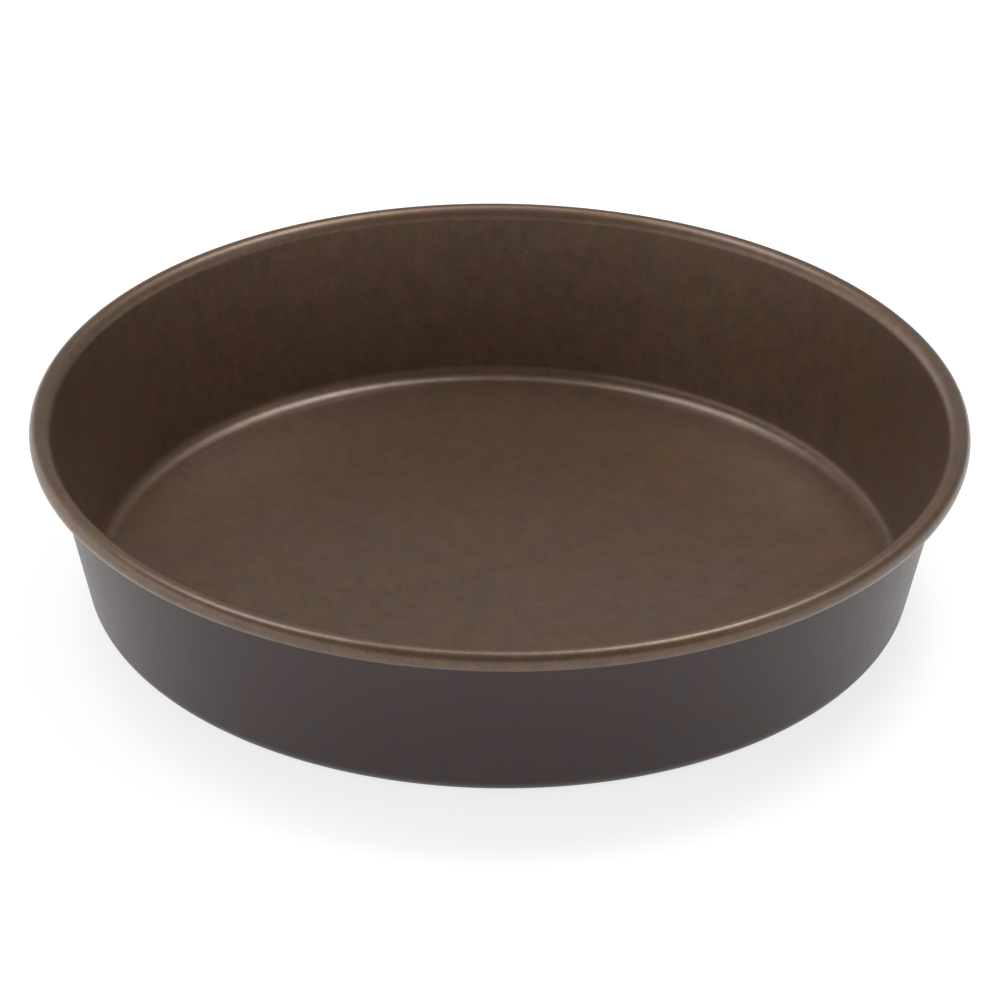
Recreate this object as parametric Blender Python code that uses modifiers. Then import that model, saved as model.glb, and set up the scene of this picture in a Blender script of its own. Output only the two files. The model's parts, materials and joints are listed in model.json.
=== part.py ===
# Round flan pan: a steel dish pressed from one sheet, its rim rolled outwards round a steel wire.
#
# The pan stands on its flat underside at the origin, +Z up, in metres, and every part is turned round Z.
# From the inside out its wall is a non-stick lining, the steel sheet and an outer coating. The lining
# runs over the rim and round the curl, and the outer coating stops under the rim. On the real pan both
# coats are films baked onto the sheet. Here each is a thin shell, a small clearance off the sheet.

import math

import bpy

# Overall sizes, over the coats
RIM_DIAMETER = 0.250
PAN_HEIGHT = 0.050

# Inside face of the lining: the flat of the floor, and the cove between floor and wall
FLOOR_DIAMETER = 0.2108
COVE_RADIUS = 0.0045

# Layers of the wall
LINING_THICKNESS = 0.0001
SHEET_THICKNESS = 0.0006
COATING_THICKNESS = 0.0001
LAYER_CLEARANCE = 0.00005

# Rolled rim: its wire hoop, the room round the wire, and the slot left between curl and wall
WIRE_DIAMETER = 0.0036
WIRE_CLEARANCE = 0.00015
WIRE_BUTT_GAP = 0.001
CURL_CLEARANCE = 0.0003

# Shoulder: the wider bend that leads from the wall into the curl, up to this angle
SHOULDER_RADIUS = 0.0042
SHOULDER_END = math.radians(60)

# Facets: steps of one turn, of the cove, and the widest step round the shoulder and the curl
TURN_STEPS = 72
COVE_STEPS = 4
CURL_STEP = math.radians(30)
WIRE_BEVEL_RESOLUTION = 3
SMOOTH_ANGLE = math.radians(40)
AXIS_MERGE_DISTANCE = 0.00001

# Depth of each layer's upper face below the lining's inside face
SHEET_DEPTH = LINING_THICKNESS + LAYER_CLEARANCE
COATING_DEPTH = SHEET_DEPTH + SHEET_THICKNESS + LAYER_CLEARANCE
WALL_THICKNESS = COATING_DEPTH + COATING_THICKNESS

# Centres of the arcs, as radius from the axis and height. The shoulder meets the bead without a kink
WIRE_RADIUS = WIRE_DIAMETER / 2
BEAD_RADIUS = SHEET_DEPTH + SHEET_THICKNESS + WIRE_CLEARANCE + WIRE_RADIUS
BEAD_CENTRE = (RIM_DIAMETER / 2 - BEAD_RADIUS, PAN_HEIGHT - BEAD_RADIUS)
SHOULDER_EXTRA = SHOULDER_RADIUS - BEAD_RADIUS
SHOULDER_CENTRE = (
    BEAD_CENTRE[0] + SHOULDER_EXTRA * math.cos(SHOULDER_END),
    BEAD_CENTRE[1] - SHOULDER_EXTRA * math.sin(SHOULDER_END),
)
COVE_CENTRE = (FLOOR_DIAMETER / 2, WALL_THICKNESS + COVE_RADIUS)


def wall_lean():
    """Angle of the wall from upright, as the line between the cove and the shoulder that touches both."""
    run = SHOULDER_CENTRE[0] - COVE_CENTRE[0]
    rise = SHOULDER_CENTRE[1] - COVE_CENTRE[1]
    crossing = math.asin((COVE_RADIUS + SHOULDER_RADIUS) / math.hypot(run, rise))
    return math.atan2(run, rise) - crossing


WALL_LEAN = wall_lean()


def wall_reach(depth):
    """Distance from the bead's centre, square to the wall, to a layer's face on the wall."""
    return SHOULDER_RADIUS - depth - SHOULDER_EXTRA * math.cos(SHOULDER_END - WALL_LEAN)


def curl_turn():
    """Angle the sheet is rolled through, which ends with its edge a clearance off the coated wall."""
    slot = wall_reach(WALL_THICKNESS) - CURL_CLEARANCE
    return 2 * math.pi - math.acos(slot / BEAD_RADIUS)


CURL_END = WALL_LEAN + curl_turn()


def cove_arc(depth):
    """Points of the cove, from the floor to the foot of the wall."""
    radius = COVE_RADIUS + depth
    points = []
    for step in range(COVE_STEPS + 1):
        angle = (math.pi / 2 - WALL_LEAN) * step / COVE_STEPS
        across = COVE_CENTRE[0] + radius * math.sin(angle)
        points.append((across, COVE_CENTRE[1] - radius * math.cos(angle)))
    return points


def bend_angles(stops):
    """Angles from the first stop to the last, with a step on every stop between them."""
    angles = [stops[0]]
    for start, end in zip(stops, stops[1:]):
        count = math.ceil((end - start) / CURL_STEP)
        angles += [start + (end - start) * step / count for step in range(1, count + 1)]
    return angles


def curl_arc(depth):
    """Points of the shoulder and the curl, from the top of the wall over the crest and back under."""
    points = []
    for angle in bend_angles([WALL_LEAN, SHOULDER_END])[:-1]:
        radius = SHOULDER_RADIUS - depth
        across = SHOULDER_CENTRE[0] - radius * math.cos(angle)
        points.append((across, SHOULDER_CENTRE[1] + radius * math.sin(angle)))
    # Steps on the crest, the outermost line and the foot keep the rim's full size
    quarters = [math.pi / 2 * quarter for quarter in range(1, 4)]
    for angle in bend_angles([SHOULDER_END] + quarters + [CURL_END]):
        radius = BEAD_RADIUS - depth
        across = BEAD_CENTRE[0] - radius * math.cos(angle)
        points.append((across, BEAD_CENTRE[1] + radius * math.sin(angle)))
    return points


def under_rim_point(depth):
    """Point on the wall level with the underside of the wire, where the outer coating stops."""
    reach = wall_reach(depth)
    across = BEAD_CENTRE[0] - reach * math.cos(WALL_LEAN) - WIRE_RADIUS * math.sin(WALL_LEAN)
    return (across, BEAD_CENTRE[1] + reach * math.sin(WALL_LEAN) - WIRE_RADIUS * math.cos(WALL_LEAN))


def rolled_outline(depth):
    """Face of a layer that goes on round the curl, from the axis outwards."""
    return [(0.0, WALL_THICKNESS - depth)] + cove_arc(depth) + curl_arc(depth)


def plain_outline(depth):
    """Face of a layer that stops under the rim, from the axis outwards."""
    return [(0.0, WALL_THICKNESS - depth)] + cove_arc(depth) + [under_rim_point(depth)]


def linear_colour(code):
    """Linear colour for a six-digit sRGB hex code."""
    levels = [int(code[place:place + 2], 16) / 255 for place in (0, 2, 4)]
    return [level / 12.92 if level <= 0.04045 else ((level + 0.055) / 1.055) ** 2.4 for level in levels]


def make_material(name, code, roughness, metallic):
    material = bpy.data.materials.new(name)
    material.use_nodes = True
    shader = material.node_tree.nodes["Principled BSDF"]
    shader.inputs["Base Color"].default_value = (*linear_colour(code), 1.0)
    shader.inputs["Roughness"].default_value = roughness
    shader.inputs["Metallic"].default_value = metallic
    material.diffuse_color = (*linear_colour(code), 1.0)
    return material


def place(part, material, collection, origin):
    """Puts a part in the pan's collection, under the empty at the pan's origin."""
    part.data.materials.append(material)
    part.parent = origin
    collection.objects.link(part)


def turned_shell(name, upper, lower, material, collection, origin):
    """Shell between two faces of one layer: their outline, turned round Z."""
    outline = upper + lower[::-1]
    mesh = bpy.data.meshes.new(name)
    points = [(across, 0.0, height) for across, height in outline]
    edges = [(index, index + 1) for index in range(len(points) - 1)]
    mesh.from_pydata(points, edges, [])
    shell = bpy.data.objects.new(name, mesh)
    place(shell, material, collection, origin)

    turn = shell.modifiers.new("turn", "SCREW")
    turn.axis = "Z"
    turn.steps = TURN_STEPS
    turn.render_steps = TURN_STEPS
    turn.use_merge_vertices = True
    turn.merge_threshold = AXIS_MERGE_DISTANCE

    bpy.context.view_layer.objects.active = shell
    bpy.ops.object.modifier_apply(modifier=turn.name)
    shell.data.shade_smooth()
    shell.data.set_sharp_from_angle(angle=SMOOTH_ANGLE)
    return shell


def wire_hoop(name, material, collection, origin):
    """Round wire bent into a hoop, its two cut ends a short gap apart at the back of the pan."""
    radius = BEAD_CENTRE[0]
    half_gap = WIRE_BUTT_GAP / 2 / radius
    middle = [2 * math.pi * step / TURN_STEPS for step in range(1, TURN_STEPS)]
    angles = [half_gap] + middle + [2 * math.pi - half_gap]

    curve = bpy.data.curves.new(name, "CURVE")
    curve.dimensions = "3D"
    curve.twist_mode = "Z_UP"
    curve.bevel_depth = WIRE_RADIUS
    curve.bevel_resolution = WIRE_BEVEL_RESOLUTION
    curve.use_fill_caps = True
    spline = curve.splines.new("POLY")
    spline.points.add(len(angles) - 1)
    for point, angle in zip(spline.points, angles):
        # The angle runs from the back, so the butt lies on +Y, away from the front
        point.co = (-radius * math.sin(angle), radius * math.cos(angle), BEAD_CENTRE[1], 1.0)
    hoop = bpy.data.objects.new(name, curve)
    place(hoop, material, collection, origin)
    return hoop


def clear_scene():
    for old in list(bpy.data.objects):
        bpy.data.objects.remove(old, do_unlink=True)


def main():
    clear_scene()
    collection = bpy.data.collections.new("flan_pan")
    bpy.context.scene.collection.children.link(collection)
    origin = bpy.data.objects.new("flan_pan_origin", None)
    origin.empty_display_size = PAN_HEIGHT
    collection.objects.link(origin)

    lining_coat = make_material("bronze_nonstick_coat", "6b5849", 0.45, 0.3)
    plain_steel = make_material("cold_rolled_steel", "8f8d89", 0.4, 1.0)
    rim_steel = make_material("drawn_steel_wire", "a3a19c", 0.3, 1.0)
    outer_coat = make_material("aubergine_coat", "4a4043", 0.35, 0.1)

    turned_shell(
        "nonstick_lining",
        rolled_outline(0.0),
        rolled_outline(LINING_THICKNESS),
        lining_coat,
        collection,
        origin,
    )
    turned_shell(
        "pan_body",
        rolled_outline(SHEET_DEPTH),
        rolled_outline(SHEET_DEPTH + SHEET_THICKNESS),
        plain_steel,
        collection,
        origin,
    )
    turned_shell(
        "outer_coating",
        plain_outline(COATING_DEPTH),
        plain_outline(WALL_THICKNESS),
        outer_coat,
        collection,
        origin,
    )
    wire_hoop("rim_wire", rim_steel, collection, origin)


main()
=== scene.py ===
# %% [markdown]
# # A flan pan with a wired rim
# A flan pan is pressed from one round blank of steel sheet that was coated before it was pressed: a
# bronze non-stick coat on one face, a dark plum-brown coat on the other. After pressing, the edge is
# rolled outwards round a wire, so the bead that you see is the inside coat turned over.
#
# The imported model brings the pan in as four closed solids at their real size. They fix every size here.
# This lesson turns the same outlines again with many more facets, because a rim seen against the light
# shows every corner, and then gives each surface its finish.

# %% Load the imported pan
import json
import math

import bmesh
import bpy
from mathutils import Matrix, Vector, noise


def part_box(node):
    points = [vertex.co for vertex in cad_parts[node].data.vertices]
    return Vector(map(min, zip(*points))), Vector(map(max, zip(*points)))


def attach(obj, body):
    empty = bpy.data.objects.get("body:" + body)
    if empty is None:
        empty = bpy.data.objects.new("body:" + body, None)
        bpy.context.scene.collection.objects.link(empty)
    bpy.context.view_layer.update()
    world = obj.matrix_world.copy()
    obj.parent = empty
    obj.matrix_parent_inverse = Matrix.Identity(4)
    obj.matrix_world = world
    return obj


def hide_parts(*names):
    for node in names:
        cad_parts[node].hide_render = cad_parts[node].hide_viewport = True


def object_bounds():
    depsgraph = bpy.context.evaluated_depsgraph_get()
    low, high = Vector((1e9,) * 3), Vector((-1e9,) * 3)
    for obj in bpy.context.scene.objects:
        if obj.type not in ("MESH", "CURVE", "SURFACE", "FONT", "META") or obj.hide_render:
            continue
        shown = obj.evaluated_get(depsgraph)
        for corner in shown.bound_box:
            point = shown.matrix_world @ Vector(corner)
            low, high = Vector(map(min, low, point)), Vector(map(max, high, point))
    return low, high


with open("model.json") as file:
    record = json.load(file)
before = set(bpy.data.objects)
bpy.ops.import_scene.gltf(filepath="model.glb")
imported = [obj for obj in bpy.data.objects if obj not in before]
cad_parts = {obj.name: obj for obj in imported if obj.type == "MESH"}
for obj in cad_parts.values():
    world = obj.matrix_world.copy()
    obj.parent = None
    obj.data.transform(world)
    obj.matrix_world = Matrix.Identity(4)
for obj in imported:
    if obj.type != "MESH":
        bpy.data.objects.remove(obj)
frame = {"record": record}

cad_low, cad_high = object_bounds()
print("Packed pan, lowest and highest corner in metres:", tuple(cad_low), tuple(cad_high))

# %% [markdown]
# ## Sizes from the solids
# Nothing is measured twice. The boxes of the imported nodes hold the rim's radius, the height, the centre
# of the bead and the thickness of each layer, so they are read from there. Some sizes leave no trace in
# a box: the radius of the flat floor, that of the cove, the small round between floor and wall, and that
# of the shoulder, the wider bend with which the wall turns into the bead.

# %% Read the pan's sizes
MM = 0.001
FLOOR_RADIUS = 105.4 * MM
COVE_RADIUS = 4.5 * MM
SHOULDER_RADIUS = 4.2 * MM
SHOULDER_END = math.radians(60)

lining_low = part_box("nonstick_lining")[0]
body_low, body_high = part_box("pan_body")
wire_low, wire_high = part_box("rim_wire")
mounts = {mount["name"]: mount for mount in frame["record"]["mounts"]}

rim_radius = cad_high.x
rim_top = cad_high.z
floor_level = mounts["floor_inside"]["pos_m"][2]
bead_height = (wire_low.z + wire_high.z) / 2
bead_radius = rim_top - bead_height
bead_place = rim_radius - bead_radius
wire_radius = (wire_high.x - wire_low.x) / 2 - bead_place

lining_thickness = floor_level - lining_low.z
body_depth = rim_top - body_high.z
layer_gap = body_depth - lining_thickness
body_thickness = floor_level - body_depth - body_low.z
coating_depth = body_depth + body_thickness + layer_gap
print("Rim radius, height, bead radius and wire radius in mm:")
print([round(size / MM, 2) for size in (rim_radius, rim_top, bead_radius, wire_radius)])

# %% [markdown]
# ## The outline of a pressed sheet
# The section is a flat floor, a cove, a straight wall, a shoulder and a curl. The wall is the one straight
# line that touches cove and shoulder, so its lean follows from their centres. Every layer of the sheet
# follows the same outline at its own depth below the inside face: the cove's radius grows by the depth,
# the others shrink by it, and the layers stay parallel.
#
# The curl is rolled until its edge comes back to the wall, all but a narrow slot. How far the sheet turns
# round the wire follows from that slot.

# %% Centres of the bends, lean of the wall and end of the curl
CURL_SLOT = 0.3 * MM

cove_height = floor_level + COVE_RADIUS
extra = SHOULDER_RADIUS - bead_radius
shoulder_place = bead_place + extra * math.cos(SHOULDER_END)
shoulder_height = bead_height - extra * math.sin(SHOULDER_END)
run, rise = shoulder_place - FLOOR_RADIUS, shoulder_height - cove_height
wall_lean = math.atan2(run, rise) - math.asin((COVE_RADIUS + SHOULDER_RADIUS) / math.hypot(run, rise))


def wall_reach(depth):
    """From the bead's centre, square to the wall, to a layer's face on the wall."""
    return SHOULDER_RADIUS - depth - extra * math.cos(SHOULDER_END - wall_lean)


curl_end = wall_lean + 2 * math.pi - math.acos((wall_reach(floor_level) - CURL_SLOT) / bead_radius)
print("The wall leans", round(math.degrees(wall_lean), 2), "degrees")
print("The sheet is rolled through", round(math.degrees(curl_end - wall_lean), 1), "degrees")

# %% [markdown]
# ## Points along one face
# An outline is a list of points, each a distance from the axis and a height. Sine and cosine give the
# points of a bend, and a share of the way between two points gives those of a straight stretch.
#
# A smooth-shaded mesh blends its normals from ring to ring. Rings close to each other beside every arc
# keep the floor and the wall flat to the eye up to the place where they start to bend.

# %% Points along one face of the sheet
FLOOR_RINGS = 26
COVE_STEPS = 12
WALL_ROWS = 16
SHOULDER_STEPS = 12
CURL_STEPS = 16
GUARD = 0.2 * MM


def arc_steps(start, end, count):
    return [start + (end - start) * step / count for step in range(count + 1)]


def between(first, last, count):
    """Points on a straight line between two points, the outer two a guard's width from its ends."""
    line = Vector(last) - Vector(first)
    guard = GUARD / line.length
    return [tuple(Vector(first) + line * share) for share in arc_steps(guard, 1 - guard, count)]


def bend(centre_place, centre_height, radius, angles):
    """Points of the rim's bends, from angle 0 on the side of the axis over the top and outwards."""
    return [(centre_place - radius * math.cos(angle), centre_height + radius * math.sin(angle))
            for angle in angles]


def face_outline(depth, rolled=True):
    """One face of the sheet from the axis outwards, as distance from the axis and height."""
    cove = COVE_RADIUS + depth
    outline = [
        (FLOOR_RADIUS + cove * math.sin(angle), cove_height - cove * math.cos(angle))
        for angle in arc_steps(0.0, math.pi / 2 - wall_lean, COVE_STEPS)
    ]
    if rolled:
        shoulder = bend(shoulder_place, shoulder_height, SHOULDER_RADIUS - depth,
                        arc_steps(wall_lean, SHOULDER_END, SHOULDER_STEPS))
        outline += between(outline[-1], shoulder[0], WALL_ROWS) + shoulder[:-1]
        # Stops on the crest, the outermost line and the foot keep the rim's full size
        stops = [SHOULDER_END, math.pi / 2, math.pi, math.pi * 3 / 2, curl_end]
        for start, end in zip(stops, stops[1:]):
            outline += bend(bead_place, bead_height, bead_radius - depth,
                            arc_steps(start, end, CURL_STEPS)[:-1])
        outline += bend(bead_place, bead_height, bead_radius - depth, [curl_end])
    else:
        reach = wall_reach(depth)
        foot = bend(bead_place, bead_height, reach, [wall_lean])[0]
        stop = (foot[0] - wire_radius * math.sin(wall_lean), foot[1] - wire_radius * math.cos(wall_lean))
        outline += between(outline[-1], stop, WALL_ROWS) + [stop]
    return [(0.0, floor_level - depth)] + between((0.0, outline[0][1]), outline[0], FLOOR_RINGS) + outline


print("The inside face has", len(face_outline(0.0)), "points from the axis to the end of the curl")

# %% [markdown]
# ## A rim that isn't quite true
# No pressed pan is perfectly true. Its rim is a little oval and rises and falls by a hair, and the bead
# keeps faint flats from the rolling tool. One small field says where each point of a true pan comes to
# lie. The same field moves every layer, so the layers never touch, and it only ever moves inwards and
# down, so the pan keeps its size. It fades to nothing at the floor, which stays flat on the table.

# %% Where a point of a true pan settles
OVAL = 0.25 * MM
OVAL_TURN = 1.2
RIM_WAVE = 0.15 * MM
RIM_WAVES = 3
RIM_WAVE_TURN = -0.6
ROLLER_FLATS = 0.03 * MM
FLAT_WIDTH = 9.0 * MM
SHARP = math.radians(40)


def wave(angle):
    """A smooth wave between 0 and 1."""
    return 0.5 - 0.5 * math.cos(angle)


def settled(point):
    """Where a point of a true pan lies on one that was pressed, rolled and handled."""
    share = max(0.0, point.z - floor_level) / (rim_top - floor_level)
    radius = math.hypot(point.x, point.y)
    if radius < FLOOR_RADIUS or share == 0.0:
        return point
    angle = math.atan2(point.y, point.x)
    around = Vector((math.cos(angle), math.sin(angle), 0.0)) * (rim_radius / FLAT_WIDTH)
    flats = 0.5 + 0.5 * noise.noise(around)
    # The whole wall goes oval. A higher power of the share keeps the other two near the rim
    inwards = share * OVAL * wave(2 * angle - OVAL_TURN)
    inwards += share ** 4 * ROLLER_FLATS * flats
    down = share ** 2 * RIM_WAVE * wave(RIM_WAVES * angle - RIM_WAVE_TURN)
    scale = (radius - inwards) / radius
    return Vector((point.x * scale, point.y * scale, point.z - down))


def settle(piece):
    """Moves a piece's points to where they lie on a real pan, and shades all but its edges smooth."""
    for vertex in piece.data.vertices:
        vertex.co = settled(vertex.co)
    piece.data.shade_smooth()
    piece.data.set_sharp_from_angle(angle=SHARP)


for side, corner in (("right", (rim_radius, 0.0, rim_top)), ("back", (0.0, rim_radius, rim_top))):
    moved = settled(Vector(corner)) - Vector(corner)
    print("On the", side, "the rim moves by", [round(step / MM, 3) for step in moved], "mm")

# %% [markdown]
# ## Turn the layers
# A Screw modifier spins an outline round Z, as a lathe would. The outline runs over the upper face
# first and comes back along the lower one, so each layer is a closed shell with its real thickness and
# a real cut edge at the end of the curl. The three layers differ only in their two depths and in where
# they end: the lining and the sheet go on round the curl, the outer coat stops under it.

# %% Lining, sheet and outer coat
TURN_STEPS = 288
AXIS_MERGE = 0.01 * MM


def turned_shell(name, upper, lower):
    outline = upper + lower[::-1]
    mesh = bpy.data.meshes.new(name)
    edges = [(index, index + 1) for index in range(len(outline) - 1)]
    mesh.from_pydata([(across, 0.0, height) for across, height in outline], edges, [])
    shell = bpy.data.objects.new(name, mesh)
    bpy.context.scene.collection.objects.link(shell)

    lathe = shell.modifiers.new("lathe", "SCREW")
    lathe.steps = lathe.render_steps = TURN_STEPS
    lathe.use_merge_vertices = True
    lathe.merge_threshold = AXIS_MERGE
    bpy.context.view_layer.objects.active = shell
    bpy.ops.object.modifier_apply(modifier=lathe.name)

    settle(shell)
    print(name, "has", len(shell.data.polygons), "faces")
    return shell


lining = turned_shell("bronze_lining", face_outline(0.0), face_outline(lining_thickness))
sheet = turned_shell("steel_sheet", face_outline(body_depth), face_outline(body_depth + body_thickness))
coating = turned_shell("plum_coating", face_outline(coating_depth, False), face_outline(floor_level, False))

# %% [markdown]
# ## The wire in the rim
# The wire is drawn steel, cut to length and bent into a hoop whose two ends meet behind the pan. A torus
# would have no ends, so a curve with a round bevel and filled caps makes it.

# %% Bend the wire into a hoop
WIRE_BUTT_GAP = 1.0 * MM
WIRE_SIDES = 6

path = bpy.data.curves.new("rim_hoop", "CURVE")
path.dimensions = "3D"
path.twist_mode = "Z_UP"
path.bevel_depth = wire_radius
path.bevel_resolution = WIRE_SIDES
path.use_fill_caps = True
half_gap = WIRE_BUTT_GAP / 2 / bead_place
angles = arc_steps(half_gap, 2 * math.pi - half_gap, TURN_STEPS)
spline = path.splines.new("POLY")
spline.points.add(len(angles) - 1)
for point, angle in zip(spline.points, angles):
    point.co = (-bead_place * math.sin(angle), bead_place * math.cos(angle), bead_height, 1.0)
print("The wire is", round(2 * math.pi * bead_place, 3), "m long")

# %% [markdown]
# ## From curve to closed mesh
# The curve is turned into a mesh, so that it can settle with the other layers. A curve leaves its caps
# loose, so the cap's points are welded to those of the wire's last ring. Then the wire is closed.

# %% Weld the wire's ends
WELD_DISTANCE = 0.01 * MM

bent = bpy.data.objects.new("rim_hoop_path", path)
bpy.context.scene.collection.objects.link(bent)
hoop_mesh = bpy.data.meshes.new_from_object(bent.evaluated_get(bpy.context.evaluated_depsgraph_get()))
hoop = bpy.data.objects.new("rim_hoop", hoop_mesh)
bpy.context.scene.collection.objects.link(hoop)
bpy.data.objects.remove(bent)

ends = bmesh.new()
ends.from_mesh(hoop_mesh)
bmesh.ops.remove_doubles(ends, verts=ends.verts, dist=WELD_DISTANCE)
print("Open edges left on the wire:", sum(edge.is_boundary for edge in ends.edges))
ends.to_mesh(hoop_mesh)
ends.free()
settle(hoop)

# %% [markdown]
# ## Colours and patterns
# Colours are written as they are read off a picture, as sRGB hex, and turned to linear light once.
# Patterns are written in millimetres: a noise texture repeats about once per unit at scale 1, so its
# scale is one metre over the size of the pattern. Its values crowd round the middle, and few of them
# lie outside the stretch named here, so that stretch is what gets spread over a finish's own range.

# %% Helpers for colours and patterns
NOISE_LOW = 0.3
NOISE_HIGH = 0.7
WHITE = (1.0, 1.0, 1.0, 1.0)


def linear(code):
    """Linear light of a colour given as sRGB hex, by the formula of the sRGB standard."""
    levels = [int(code[place:place + 2], 16) / 255 for place in (0, 2, 4)]
    light = [level / 12.92 if level <= 0.04045 else ((level + 0.055) / 1.055) ** 2.4 for level in levels]
    return (*light, 1.0)


def per_metre(millimetres):
    return 1 / (millimetres * MM)


print("Middle grey in linear light:", round(linear("808080")[0], 3))

# %% [markdown]
# ## Nodes and finishes
# One helper adds a node, sets it and links it. It gives back the node's output, ready to be the input
# of the next node, so a material reads from its pattern to its shader. A second one makes the material,
# and a third puts it on a piece.

# %% Helpers for nodes and finishes
# Sockets of a Mix node that mixes colours
MIX_SHARE, MIX_FIRST, MIX_SECOND = 0, 6, 7


def add_node(tree, kind, settings=None, inputs=None):
    """Adds a node and gives back its first output in use. Inputs given as an output are linked."""
    node = tree.nodes.new(kind)
    for name, value in (settings or {}).items():
        setattr(node, name, value)
    for name, value in (inputs or {}).items():
        if isinstance(value, bpy.types.NodeSocket):
            tree.links.new(value, node.inputs[name])
        else:
            node.inputs[name].default_value = value
    return next((output for output in node.outputs if output.enabled), None)


def new_material(name):
    material = bpy.data.materials.new(name)
    material.use_nodes = True
    return material, material.node_tree, material.node_tree.nodes["Principled BSDF"]


def wear(piece, material, node):
    """Gives a piece its finish, hides the CAD node that it stands for and hangs it under the body."""
    piece.data.materials.clear()
    piece.data.materials.append(material)
    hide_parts(node)
    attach(piece, "root")
    print(piece.name, "wears", material.name, "of", len(material.node_tree.nodes), "nodes")


# %% [markdown]
# ## Bronze non-stick coat
# The inside is a fluoropolymer coat, rolled onto the flat sheet and baked. Its brown resin is full of
# mica flakes that lie almost flat. The flakes answer the light as specks of bronze-coloured metal, a
# little different from flake to flake, and the resin closes over them as a clear, smoother skin. So the
# shader is a part-metallic base with a broad sheen, and its coat layer draws the narrow white lines on
# the bead and along the cove.
#
# The coat is uneven at every size, so each pattern is a noise with finer octaves over it, all of even
# strength. The grain and the two casts start at 6 to 9 mm and go down to under 1 mm.

# %% Noise of the bronze coat
CLOUD_MM = 38.0
RUDDY_MM = 9.0
GOLDEN_MM = 6.0
GRAIN_MM = 7.0
PEEL_MM = 1.1
FEW_OCTAVES = 1.0
MANY_OCTAVES = 4.0
EVEN_OCTAVES = 1.0

bronze, tree, shader = new_material("fluoropolymer_coat_with_mica")
place = add_node(tree, "ShaderNodeTexCoord").node.outputs["Object"]
# Size of each pattern and how many finer octaves lie over it
cloud, ruddy, golden, grain, peel = [
    add_node(tree, "ShaderNodeTexNoise", inputs={
        "Vector": place, "Scale": per_metre(millimetres), "Detail": octaves, "Roughness": EVEN_OCTAVES})
    for millimetres, octaves in (
        (CLOUD_MM, FEW_OCTAVES), (RUDDY_MM, MANY_OCTAVES), (GOLDEN_MM, MANY_OCTAVES),
        (GRAIN_MM, MANY_OCTAVES), (PEEL_MM, FEW_OCTAVES))]
print("The finest grain is", round(GRAIN_MM / 2 ** MANY_OCTAVES, 2), "mm across")

# %% [markdown]
# ## Mica flakes
# A Voronoi texture scatters points through space and gives each a random colour, much as loose flakes
# lie in resin. One channel of the colour says how flat a flake lies: from one value on it starts to
# glint, and from another it lies quite flat. The distance to the point fades the flake out at its edge.
#
# Real flakes are 0.05 to 0.1 mm across. One pixel of this picture is 0.27 mm, so the flakes are drawn
# 0.5 mm apart, or they wouldn't show.

# %% Flakes that glint
FLAKE_MM = 0.5
FLAT_FROM = 0.72
FLAT_FULLY = 0.95
FLAKE_EDGE = 0.5
FLAKE_CORE = 0.2

flake_gap = add_node(tree, "ShaderNodeTexVoronoi", inputs={"Vector": place, "Scale": per_metre(FLAKE_MM)})
flake_draw = add_node(tree, "ShaderNodeSeparateColor", inputs={"Color": flake_gap.node.outputs["Color"]})
flat_flake = add_node(tree, "ShaderNodeMapRange", inputs={
    "Value": flake_draw, "From Min": FLAT_FROM, "From Max": FLAT_FULLY})
flake_spot = add_node(tree, "ShaderNodeMapRange", inputs={
    "Value": flake_gap, "From Min": FLAKE_EDGE, "From Max": FLAKE_CORE})
glint = add_node(tree, "ShaderNodeMath", {"operation": "MULTIPLY"}, {0: flat_flake, 1: flake_spot})
print("Share of the flakes that glint:", round(1 - FLAT_FROM, 2))

# %% [markdown]
# ## Colours of the bronze coat
# Baking leaves the resin redder in some places and more golden in others. Each cast is mixed in by its
# own pattern. A Mix node holds its share between 0 and 1, so a range that goes past them leaves patches
# of the pure colour. The grain then makes the result lighter or darker. The flat flakes get a paler
# colour, partly the mica's own and partly a painted glint.

# %% Mix the browns
RESIN_BROWN = "625440"
RUDDY_BROWN = "7a5245"
GOLDEN_BROWN = "715a37"
CLOUD_BROWN = "70574c"
# Paler colour of the flat flakes: partly the mica's own colour, partly a painted glint
MICA_AND_PAINTED_GLINT = "a88c70"
MICA_AND_GLINT_SHARE = 0.3
RUDDY_RANGE = (-0.3, 1.3)
GOLDEN_RANGE = (-0.5, 1.3)
CLOUD_RANGE = (0.0, 0.5)
GRAIN_RANGE = (0.76, 1.24)

ruddiness, goldenness, clouded, grain_level = [
    add_node(tree, "ShaderNodeMapRange", inputs={
        "Value": value, "From Min": NOISE_LOW, "From Max": NOISE_HIGH, "To Min": low, "To Max": high})
    for value, (low, high) in (
        (ruddy, RUDDY_RANGE), (golden, GOLDEN_RANGE), (cloud, CLOUD_RANGE), (grain, GRAIN_RANGE))]
brown = linear(RESIN_BROWN)
for share, cast in ((ruddiness, RUDDY_BROWN), (goldenness, GOLDEN_BROWN), (clouded, CLOUD_BROWN)):
    brown = add_node(tree, "ShaderNodeMix", {"data_type": "RGBA"}, {
        MIX_SHARE: share, MIX_FIRST: brown, MIX_SECOND: linear(cast)})
grained = add_node(tree, "ShaderNodeVectorMath", {"operation": "SCALE"}, {0: brown, "Scale": grain_level})
# Flat flakes are mixed towards a paler colour: partly the mica's own, partly a painted glint
painted_glint_share = add_node(tree, "ShaderNodeMath", {"operation": "MULTIPLY"}, {0: glint, 1: MICA_AND_GLINT_SHARE})
coat_colour = add_node(tree, "ShaderNodeMix", {"data_type": "RGBA"}, {
    MIX_SHARE: painted_glint_share, MIX_FIRST: grained, MIX_SECOND: linear(MICA_AND_PAINTED_GLINT)})
print("The resin's brown in linear light:", [round(level, 3) for level in linear(RESIN_BROWN)[:3]])

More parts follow.
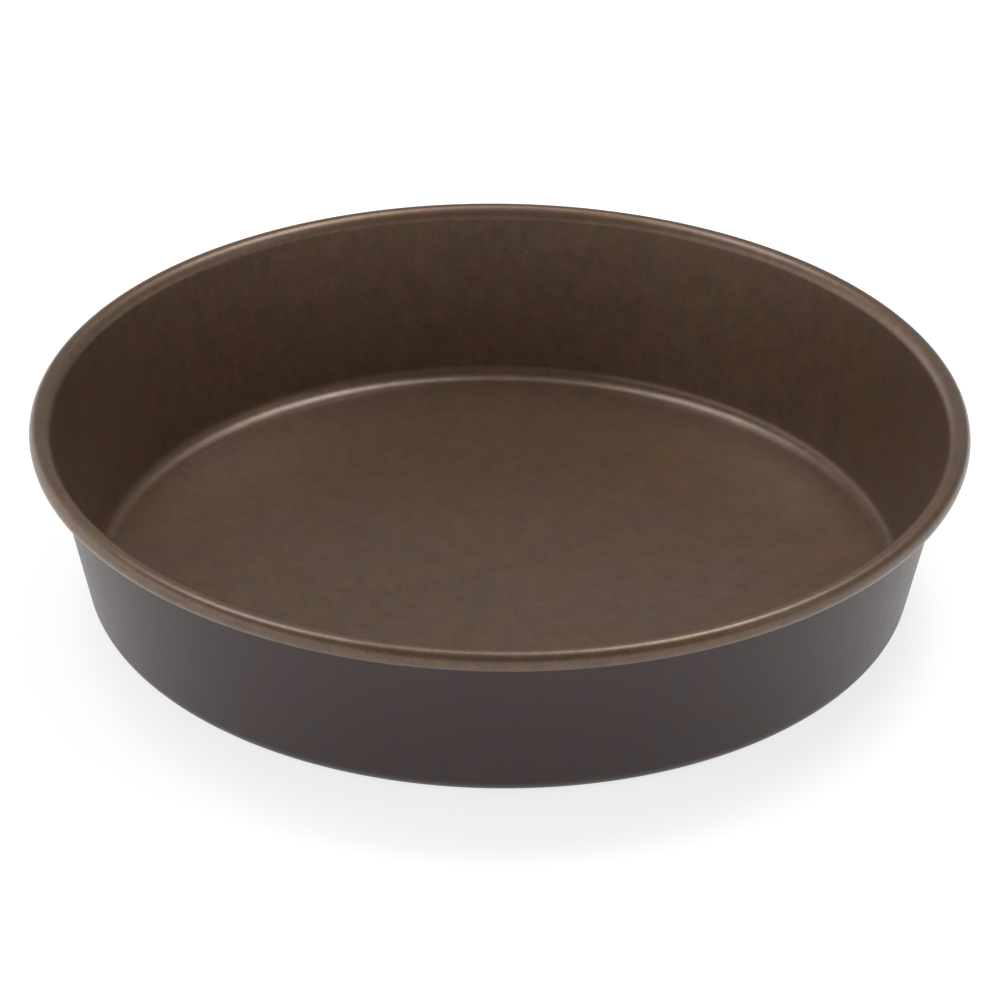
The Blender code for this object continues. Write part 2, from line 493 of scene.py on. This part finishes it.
# %% [markdown]
# ## Sheen and skin of the bronze coat
# The base is rough and partly metallic, most so on the flakes, and a bit smoother where the grain is
# light. The clear skin over it has the low index of refraction of a fluoropolymer with some binder in
# it. Two faint bumps, one for the baked skin's orange peel and one for the grain, break up its gloss.

# %% Sheen, skin and bumps
RESIN_METAL = 0.56
FLAKE_METAL = 0.85
DARK_ROUGHNESS = 0.47
LIGHT_ROUGHNESS = 0.41
SKIN_IOR = 1.41
SKIN_ROUGHNESS = 0.3
PEEL_DEPTH = 0.02 * MM
GRAIN_DEPTH = 0.03 * MM

metal_share = add_node(tree, "ShaderNodeMapRange", inputs={
    "Value": glint, "To Min": RESIN_METAL, "To Max": FLAKE_METAL})
coat_roughness = add_node(tree, "ShaderNodeMapRange", inputs={
    "Value": grain, "From Min": NOISE_LOW, "From Max": NOISE_HIGH,
    "To Min": DARK_ROUGHNESS, "To Max": LIGHT_ROUGHNESS})
peel_bump = add_node(tree, "ShaderNodeBump", inputs={"Height": peel, "Distance": PEEL_DEPTH})
grain_bump = add_node(tree, "ShaderNodeBump", inputs={
    "Height": grain, "Distance": GRAIN_DEPTH, "Normal": peel_bump})

shader.inputs["Coat Weight"].default_value = 1.0
shader.inputs["Coat IOR"].default_value = SKIN_IOR
shader.inputs["Coat Roughness"].default_value = SKIN_ROUGHNESS
for socket, value in (("Base Color", coat_colour), ("Metallic", metal_share),
                      ("Roughness", coat_roughness), ("Normal", grain_bump)):
    tree.links.new(value, shader.inputs[socket])
wear(lining, bronze, "nonstick_lining")

# %% [markdown]
# ## Plum-brown outer coat
# The outside is a silicone-polyester enamel, coil-coated and baked. It is smoother than the inside, so
# it mirrors the white table in a soft way, most of all where the wall turns away. Its dark pigment has
# a red-violet cast that turns browner in places.
#
# Pressing drew the sheet past the edge of the die, which left faint upright streaks. They are noise as
# well, looked up in a space that is squeezed along Z, so that each spot of it is drawn out upwards.

# %% Patterns of the enamel
ENAMEL_CLOUD_MM = 30.0
ENAMEL_HUE_MM = 8.0
ENAMEL_GRAIN_MM = 0.8
ENAMEL_PEEL_MM = 2.0
STREAK_MM = 2.2
STREAK_SQUEEZE = 0.04

plum, tree, shader = new_material("silicone_polyester_enamel")
place = add_node(tree, "ShaderNodeTexCoord").node.outputs["Object"]
upright = add_node(tree, "ShaderNodeMapping", inputs={"Vector": place, "Scale": (1.0, 1.0, STREAK_SQUEEZE)})
# Space and size of each pattern, and how many finer octaves lie over it
cloud, hue, grain, peel, streaks = [
    add_node(tree, "ShaderNodeTexNoise", inputs={
        "Vector": where, "Scale": per_metre(millimetres), "Detail": octaves, "Roughness": EVEN_OCTAVES})
    for where, millimetres, octaves in (
        (place, ENAMEL_CLOUD_MM, 3.0), (place, ENAMEL_HUE_MM, 4.0), (place, ENAMEL_GRAIN_MM, 1.0),
        (place, ENAMEL_PEEL_MM, 0.0), (upright, STREAK_MM, 2.0))]
print("A streak is", STREAK_MM, "mm wide and", round(STREAK_MM / STREAK_SQUEEZE), "mm long")

# %% [markdown]
# ## Colour and gloss of the enamel
# The two casts of the pigment are mixed as on the inside. Grain and streaks change its brightness by a
# few hundredths, and the streaks its roughness too, because the die rubbed the enamel there. It has no
# skin over it: the index of refraction of the enamel itself makes its gloss.

# %% Colour and gloss of the enamel
ENAMEL_VIOLET = "352832"
ENAMEL_BROWN = "492a20"
ENAMEL_RED = "412c2c"
ENAMEL_HUE_RANGE = (0.0, 1.0)
ENAMEL_GRAIN_RANGE = (0.94, 1.06)
STREAK_RANGE = (0.96, 1.04)
STREAK_ROUGHNESS = (0.285, 0.34)
ENAMEL_IOR = 1.54
ENAMEL_DEPTH = 0.02 * MM

clouded, ruddiness, grain_level, streak_level, enamel_roughness = [
    add_node(tree, "ShaderNodeMapRange", inputs={
        "Value": value, "From Min": NOISE_LOW, "From Max": NOISE_HIGH, "To Min": low, "To Max": high})
    for value, (low, high) in (
        (cloud, CLOUD_RANGE), (hue, ENAMEL_HUE_RANGE), (grain, ENAMEL_GRAIN_RANGE),
        (streaks, STREAK_RANGE), (streaks, STREAK_ROUGHNESS))]
pigment = linear(ENAMEL_VIOLET)
for share, cast in ((ruddiness, ENAMEL_BROWN), (clouded, ENAMEL_RED)):
    pigment = add_node(tree, "ShaderNodeMix", {"data_type": "RGBA"}, {
        MIX_SHARE: share, MIX_FIRST: pigment, MIX_SECOND: linear(cast)})
both = add_node(tree, "ShaderNodeMath", {"operation": "MULTIPLY"}, {0: grain_level, 1: streak_level})
enamel_colour = add_node(tree, "ShaderNodeVectorMath", {"operation": "SCALE"}, {0: pigment, "Scale": both})
enamel_bump = add_node(tree, "ShaderNodeBump", inputs={"Height": peel, "Distance": ENAMEL_DEPTH})

shader.inputs["IOR"].default_value = ENAMEL_IOR
for socket, value in (("Base Color", enamel_colour), ("Roughness", enamel_roughness),
                      ("Normal", enamel_bump)):
    tree.links.new(value, shader.inputs[socket])
wear(coating, plum, "outer_coating")

# %% [markdown]
# ## Bare steel
# Cold-rolled sheet shows only at its cut edge under the bead, and the drawn wire not at all, but both
# are real pieces of the pan. Rolling and drawing leave fine lines along the metal, which show as small
# steps of brightness and roughness. Both steels are made by one loop, the wire paler and smoother.

# %% Cold-rolled sheet and drawn wire
SHEET_GREY = "8f8d89"
WIRE_GREY = "a3a19c"
SHEET_ROUGHNESS = 0.38
WIRE_ROUGHNESS = 0.28
STEEL_LINE_MM = 0.7
STEEL_LINE_OCTAVES = 3.0
STEEL_LINE_DEPTH = 0.01 * MM
LEVEL_SPREAD = 0.12
ROUGHNESS_SPREAD = 0.06

for name, colour, roughness, piece, slot, node in (
        ("cold_rolled_steel", SHEET_GREY, SHEET_ROUGHNESS, sheet, "steel_sheet", "pan_body"),
        ("drawn_steel_wire", WIRE_GREY, WIRE_ROUGHNESS, hoop, "steel_wire", "rim_wire")):
    steel, tree, shader = new_material(name)
    place = add_node(tree, "ShaderNodeTexCoord").node.outputs["Object"]
    lines = add_node(tree, "ShaderNodeTexNoise", inputs={
        "Vector": place, "Scale": per_metre(STEEL_LINE_MM), "Detail": STEEL_LINE_OCTAVES})
    line_level, steel_roughness = [
        add_node(tree, "ShaderNodeMapRange", inputs={
            "Value": lines, "From Min": NOISE_LOW, "From Max": NOISE_HIGH,
            "To Min": middle - spread, "To Max": middle + spread})
        for middle, spread in ((1.0, LEVEL_SPREAD), (roughness, ROUGHNESS_SPREAD))]
    steel_colour = add_node(tree, "ShaderNodeVectorMath", {"operation": "SCALE"}, {
        0: linear(colour)[:3], "Scale": line_level})
    steel_bump = add_node(tree, "ShaderNodeBump", inputs={"Height": lines, "Distance": STEEL_LINE_DEPTH})
    shader.inputs["Metallic"].default_value = 1.0
    for socket, value in (("Base Color", steel_colour), ("Normal", steel_bump),
                          ("Roughness", steel_roughness)):
        tree.links.new(value, shader.inputs[socket])
    wear(piece, steel, node)

# %% [markdown]
# ## The table
# The pan stands on a white table that runs on past the picture. A plane is enough for it. It lies a
# hair below the pan, so that the two surfaces don't fight for the same place.

# %% White table
TABLE_SIZE = 6.0
TABLE_DROP = 0.05 * MM
TABLE_GREY = "c8c8c8"
TABLE_ROUGHNESS = 0.9

bpy.ops.mesh.primitive_plane_add(size=TABLE_SIZE, location=(0.0, 0.0, -TABLE_DROP))
table = bpy.context.object
table.name = "white_table"

paper, tree, shader = new_material("white_table_paper")
shader.inputs["Base Color"].default_value = linear(TABLE_GREY)
shader.inputs["Roughness"].default_value = TABLE_ROUGHNESS
shader.inputs["Specular IOR Level"].default_value = 0.0
table.data.materials.append(paper)
print("The table is", TABLE_SIZE, "m wide")

# %% [markdown]
# ## The table's glow
# Seen by the camera, in gloss or through glass, the table has a little glow of its own. It reads as
# white that way without more light on the pan, and it still darkens in the narrow shadow where the pan
# touches down. The Light Path node tells by which kind of ray the table is seen.

# %% Glow of the table
TABLE_GLOW = 0.75
TABLE_GLOW_IN_GLOSS = 0.56

ray = add_node(tree, "ShaderNodeLightPath").node
mirrored = add_node(tree, "ShaderNodeMath", {"operation": "MAXIMUM"}, {
    0: ray.outputs["Is Glossy Ray"], 1: ray.outputs["Is Transmission Ray"]})
glow_seen = add_node(tree, "ShaderNodeMath", {"operation": "MULTIPLY"}, {
    0: ray.outputs["Is Camera Ray"], 1: TABLE_GLOW})
glow_mirrored = add_node(tree, "ShaderNodeMath", {"operation": "MULTIPLY"}, {
    0: mirrored, 1: TABLE_GLOW_IN_GLOSS})
glow = add_node(tree, "ShaderNodeMath", {"operation": "ADD"}, {0: glow_seen, 1: glow_mirrored})
shader.inputs["Emission Color"].default_value = WHITE
tree.links.new(glow, shader.inputs["Emission Strength"])
print("Glow to the camera and in gloss:", TABLE_GLOW, TABLE_GLOW_IN_GLOSS)

# %% [markdown]
# ## The white room
# A pan this dark shows its form by what it mirrors, so the room matters as much as the lamps. Low down
# it has a pale horizon, a backdrop behind and a wide window on the left. Above them the ceiling is dim,
# so the matt coat keeps its depth.
#
# The world's strength is a map of directions. Along Z, a direction's share is the sine of its angle
# above level. Each light of the room is full up to one such angle and gone above a second, and it fades
# out to one side along X or Y. Where lights overlap, the strongest counts.

# %% Light of the room
HORIZON = 1.1
BACKDROP = 0.3
WINDOW = 1.25
ROOM = 0.25
CEILING = 0.12
ROOM_BELOW = 29
CEILING_ABOVE = 38


def sine(degrees):
    return math.sin(math.radians(degrees))


world = bpy.data.worlds.new("white_room")
bpy.context.scene.world = world
world.use_nodes = True
tree = world.node_tree
towards = add_node(tree, "ShaderNodeTexCoord").node.outputs["Generated"]
parts = add_node(tree, "ShaderNodeSeparateXYZ", inputs={0: towards}).node
sky = add_node(tree, "ShaderNodeMapRange", inputs={
    "Value": parts.outputs["Z"], "From Min": sine(ROOM_BELOW), "From Max": sine(CEILING_ABOVE),
    "To Min": ROOM, "To Max": CEILING})

# Strength, angles where it is full and gone, axis to the side, shares of it where it is full and gone
for strength, full_below, none_above, side, full_at, none_at in (
        (HORIZON, 11, 18, "Y", 0.25, 0.75),
        (BACKDROP, 20, 28, "Y", 0.85, 0.5),
        (WINDOW, 28, 38, "X", -0.7, -0.35)):
    upwards = add_node(tree, "ShaderNodeMapRange", inputs={
        "Value": parts.outputs["Z"], "From Min": sine(full_below), "From Max": sine(none_above),
        "To Min": strength, "To Max": 0.0})
    sideways = add_node(tree, "ShaderNodeMapRange", inputs={
        "Value": parts.outputs[side], "From Min": full_at, "From Max": none_at,
        "To Min": 1.0, "To Max": 0.0})
    light = add_node(tree, "ShaderNodeMath", {"operation": "MULTIPLY"}, {0: upwards, 1: sideways})
    sky = add_node(tree, "ShaderNodeMath", {"operation": "MAXIMUM"}, {0: sky, 1: light})
tree.links.new(sky, tree.nodes["Background"].inputs["Strength"])
tree.nodes["Background"].inputs["Color"].default_value = WHITE
print("The room's light has", len(tree.nodes), "nodes")

# %% [markdown]
# ## Soft studio light
# Two softboxes hang over the back of the pan, left and right, each with a small bright lamp in it. They
# draw the bright stretches along the cove and the bead. A dim one between them and farther back fills
# the middle of those lines, and another stands far to the right.
#
# The power of a lamp follows from how bright its face should be: radiance times pi times its area. All
# lamps face the middle of the pan, and none is seen by the camera itself.

# %% Lamps and softboxes
# Name, place in metres, width and depth in metres, radiance of its face
for name, spot, width, depth, radiance in (
        ("lamp_behind_left", (-0.45, 0.40, 1.2), 0.28, 0.24, 6.3),
        ("lamp_behind_right", (0.42, 0.40, 1.2), 0.36, 0.26, 7.4),
        ("softbox_left", (-0.55, 0.28, 1.2), 0.50, 0.44, 3.4),
        ("softbox_behind", (0.0, 0.62, 1.2), 0.8, 0.5, 1.2),
        ("softbox_right", (0.38, 0.30, 1.2), 0.54, 0.42, 3.9),
        ("softbox_far_right", (1.3, -0.35, 1.1), 0.6, 0.6, 0.9)):
    lamp = bpy.data.lights.new(name, "AREA")
    lamp.shape = "RECTANGLE"
    lamp.size = width
    lamp.size_y = depth
    lamp.energy = radiance * math.pi * width * depth
    holder = bpy.data.objects.new(name, lamp)
    bpy.context.scene.collection.objects.link(holder)
    holder.location = spot
    holder.rotation_euler = Vector(spot).to_track_quat("Z", "Y").to_euler()
    holder.visible_camera = False
    print(name, round(lamp.energy, 2), "W")

# %% [markdown]
# ## The camera
# A pinhole camera was fitted to the rim, the base and the floor line of the photograph. It stands far
# off with a long lens, looks down at about thirty degrees, and is turned a little about its own axis.

# %% Camera
CAMERA_DISTANCE = 1.375
CAMERA_ELEVATION = math.radians(29.901)
CAMERA_ROLL = math.radians(0.655)
CAMERA_TARGET = Vector((0.23, 0.0, 22.52)) * MM
FOCAL_PIXELS = 5121.8
PICTURE_PIXELS = 1000
SENSOR_WIDTH_MM = 36.0
NEAREST_SEEN = 0.1
FARTHEST_SEEN = 20.0

lens = bpy.data.cameras.new("camera")
lens.sensor_fit = "HORIZONTAL"
lens.sensor_width = SENSOR_WIDTH_MM
lens.lens = SENSOR_WIDTH_MM * FOCAL_PIXELS / PICTURE_PIXELS
lens.clip_start = NEAREST_SEEN
lens.clip_end = FARTHEST_SEEN
camera = bpy.data.objects.new("camera", lens)
bpy.context.scene.collection.objects.link(camera)
tilt = Matrix.Rotation(math.pi / 2 - CAMERA_ELEVATION, 4, "X")
backwards = tilt @ Vector((0.0, 0.0, CAMERA_DISTANCE))
camera.matrix_world = (Matrix.Translation(CAMERA_TARGET + backwards) @ tilt
                       @ Matrix.Rotation(CAMERA_ROLL, 4, "Z"))
bpy.context.scene.camera = camera
bpy.context.scene.view_settings.view_transform = "Standard"
print("Lens", round(lens.lens, 1), "mm")
